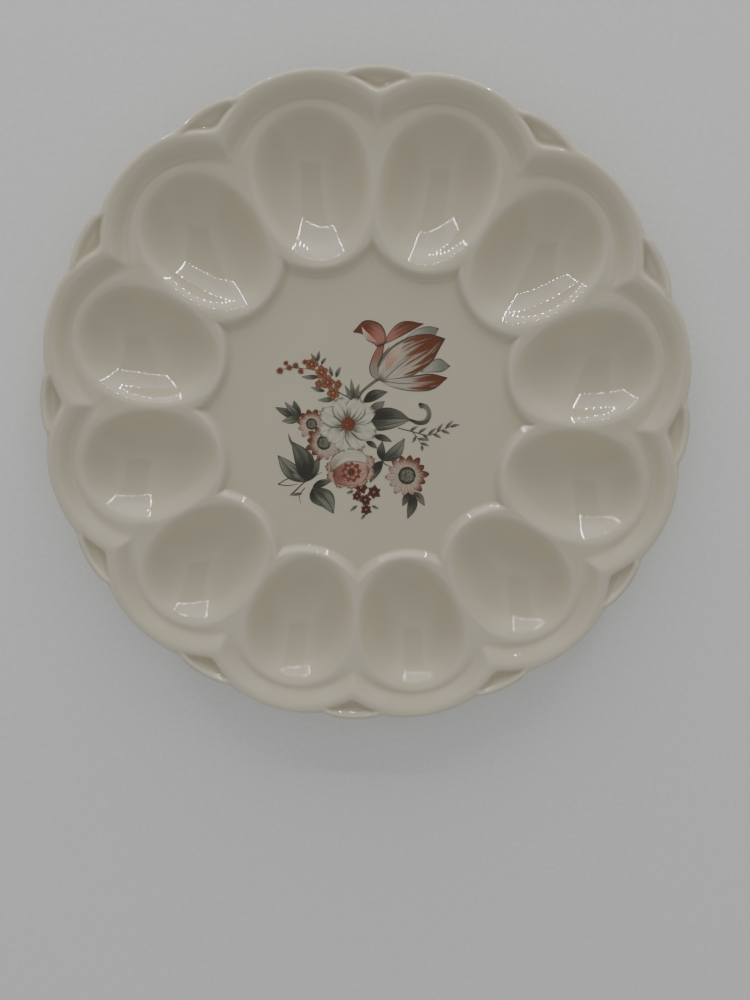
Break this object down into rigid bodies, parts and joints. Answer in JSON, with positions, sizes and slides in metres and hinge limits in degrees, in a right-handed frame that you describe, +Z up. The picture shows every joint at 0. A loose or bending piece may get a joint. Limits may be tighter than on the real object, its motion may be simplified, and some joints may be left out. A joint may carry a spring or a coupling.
{
  "type": "egg holder tray",
  "caption": "Round glazed ceramic tray with a ring of egg-shaped wells, a scalloped raised rim and a flat middle with a fired floral print.",
  "frame": {"origin": "middle of the foot ring, on the plane that the tray stands on", "axes": "+Z up through the open wells; +Y towards the tulip of the print; X and Y each pass between two wells"},
  "size_m": [0.2652, 0.2652, 0.0235],
  "materials": {
    "glazed_body": "cream white earthenware under a clear gloss glaze, fired",
    "decal_tulip": "enamel print fired onto the glaze, satin gloss",
    "decal_white_bloom": "enamel print fired onto the glaze, satin gloss",
    "decal_rose": "enamel print fired onto the glaze, satin gloss",
    "decal_right_daisy": "enamel print fired onto the glaze, satin gloss",
    "decal_left_daisy": "enamel print fired onto the glaze, satin gloss",
    "decal_small_daisy": "enamel print fired onto the glaze, satin gloss",
    "decal_orange_sprig": "enamel print fired onto the glaze, satin gloss",
    "decal_russet_stars": "enamel print fired onto the glaze, satin gloss",
    "decal_tulip_stem": "enamel print fired onto the glaze, satin gloss",
    "decal_left_leaves": "enamel print fired onto the glaze, satin gloss",
    "decal_upper_leaves": "enamel print fired onto the glaze, satin gloss",
    "decal_right_leaves": "enamel print fired onto the glaze, satin gloss"
  },
  "bodies": {
    "root": {"tray_body": "glazed_body", "decal_tulip": "decal_tulip", "decal_white_bloom": "decal_white_bloom", "decal_rose": "decal_rose", "decal_right_daisy": "decal_right_daisy", "decal_left_daisy": "decal_left_daisy", "decal_small_daisy": "decal_small_daisy", "decal_orange_sprig": "decal_orange_sprig", "decal_russet_stars": "decal_russet_stars", "decal_tulip_stem": "decal_tulip_stem", "decal_left_leaves": "decal_left_leaves", "decal_upper_leaves": "decal_upper_leaves", "decal_right_leaves": "decal_right_leaves"}
  },
  "joints": []
}
